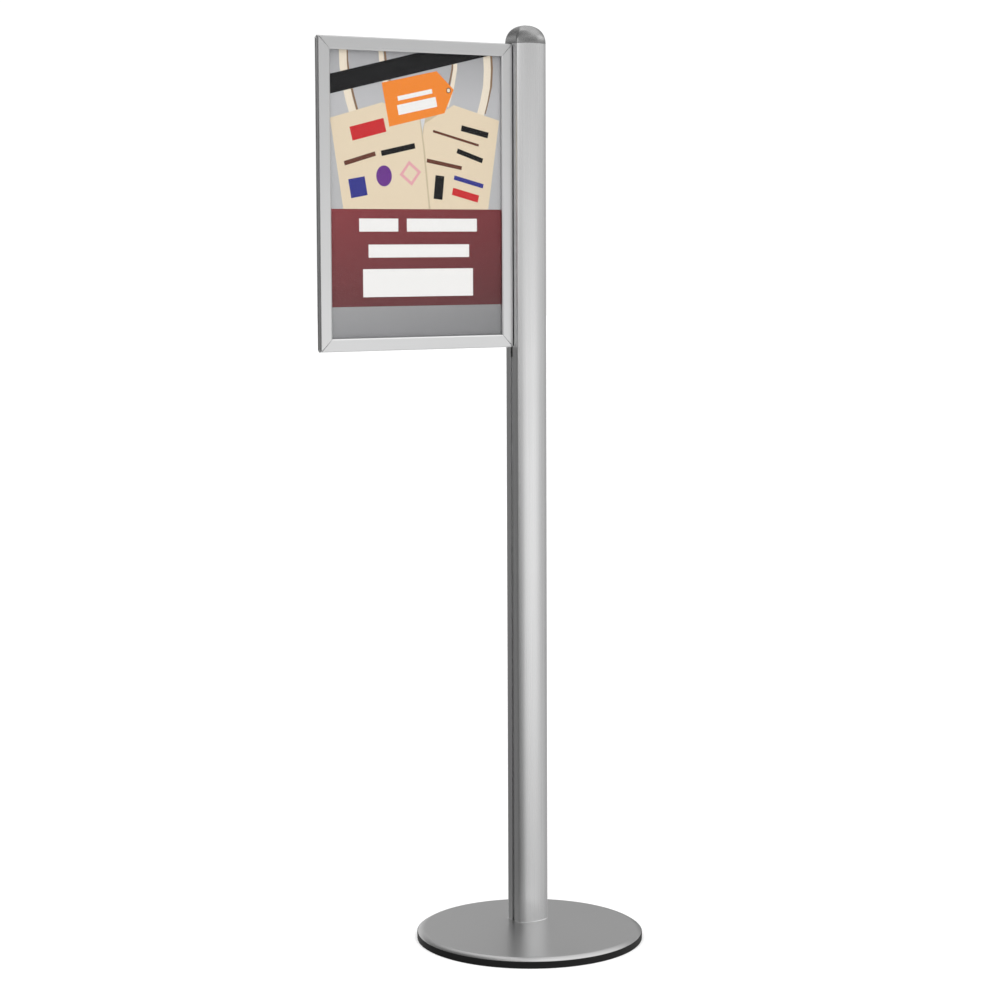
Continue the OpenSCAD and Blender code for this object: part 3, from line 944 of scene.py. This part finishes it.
# In degrees: azimuth (0 is -Y, 90 is +X), half width, softness, elevation, half height,
# softness. Then the strength.
SOFTBOXES = [
    (34, 43, 8, -16, 17, 27, 0.3),
    (15, 13, 33, -6, 1, 10, 1.15),
    (-47, 14, 36, 8, 8, 6, 0.95),
    (-52, 10, 14, 20, 5, 6, 1.8),
    (33, 56, 41, 5, 3, 8, 0.12),
    (81, 29, 18, -8, 21, 22, 0.18),
    (72, 12, 12, 22, 4, 7, 1.8),
    (143, 45, 138, 0, 80, 50, 0.09),
    (10, 55, 35, 28, 5, 8, 0.35),
    (33, 40, 30, 46, 12, 12, 0.42),
    (150, 45, 45, 17, 1, 8, 0.6),
    (105, 50, 40, 66, 22, 20, 1.2),
    (0, 180, 1, 90, 8, 20, 0.8),
    (0, 180, 1, -90, 46, 14, 0.6),
    (176, 10, 20, -2, 10, 18, 0.75),
    (-125, 40, 30, 14, 3, 9, 0.3),
    (128, 25, 20, -18, 12, 14, 0.3),
]
AMBIENT = 0.11
BACKDROP = 1.05
DIFFUSE = 0.5
SUN_POWER, SUN_SPREAD, SUN_TOWARDS = 2.3, 80, (0.2, 0.35, -1)
BOUNCED = 1.75


def make_world():
    """Softboxes for the shiny parts. Diffuse surfaces get less of them, and what is seen in two
    reflections, such as the base in the post, is lit from below the horizon and more strongly."""
    world = bpy.data.worlds.new("studio")
    world.use_nodes = True
    scene.world = world
    n = Nodes(world.node_tree)
    towards = n.vector("NORMALIZE", n.add("ShaderNodeTexCoord").outputs["Generated"])
    xyz = n.add("ShaderNodeSeparateXYZ", {0: towards})
    level = n.vector("NORMALIZE", n.vector("MULTIPLY", towards, (1, 1, 0)))
    path = n.add("ShaderNodeLightPath").outputs
    bounced = n.math("GREATER_THAN", path["Glossy Depth"], 1.5)
    true_height = n.math("ARCSINE", xyz.outputs[2])
    below = n.math("MULTIPLY", n.math("ABSOLUTE", true_height), -1)
    height = n.blend(bounced, true_height, below)
    total = None
    for az, az_half, az_soft, el, el_half, el_soft, strength in SOFTBOXES:
        a = math.radians(az)
        dot = n.vector("DOT_PRODUCT", level, (math.sin(a), -math.cos(a), 0)).outputs["Value"]
        off = n.math("ARCCOSINE", n.math("MULTIPLY", dot, 0.99999))
        side = n.spread(
            off, math.radians(az_half), math.radians(az_half + az_soft), 1, 0, True
        )
        rise = n.math("ABSOLUTE", n.math("SUBTRACT", height, math.radians(el)))
        tall = n.spread(
            rise, math.radians(el_half), math.radians(el_half + el_soft), 1, 0, True
        )
        box = n.math("MULTIPLY", n.math("MULTIPLY", side, tall), strength)
        total = box if total is None else n.math("ADD", total, box)
    studio = n.math("MULTIPLY", n.math("ADD", total, AMBIENT), n.blend(bounced, 1.0, BOUNCED))
    scattered = n.blend(path["Is Diffuse Ray"], studio, DIFFUSE)
    seen = n.blend(path["Is Camera Ray"], scattered, BACKDROP)
    back = n.add("ShaderNodeBackground", {0: (1, 1, 1, 1), 1: seen})
    out = n.add("ShaderNodeOutputWorld")
    world.node_tree.links.new(back.outputs[0], out.inputs[0])


make_floor()
make_world()
sun = bpy.data.lights.new("soft_sun", "SUN")
sun.energy = SUN_POWER
sun.angle = math.radians(SUN_SPREAD)
sun_object = bpy.data.objects.new("soft_sun", sun)
sun_object.rotation_mode = "QUATERNION"
sun_object.rotation_quaternion = Vector(SUN_TOWARDS).to_track_quat("-Z", "Y")
sun_object.visible_glossy = False
scene.collection.objects.link(sun_object)
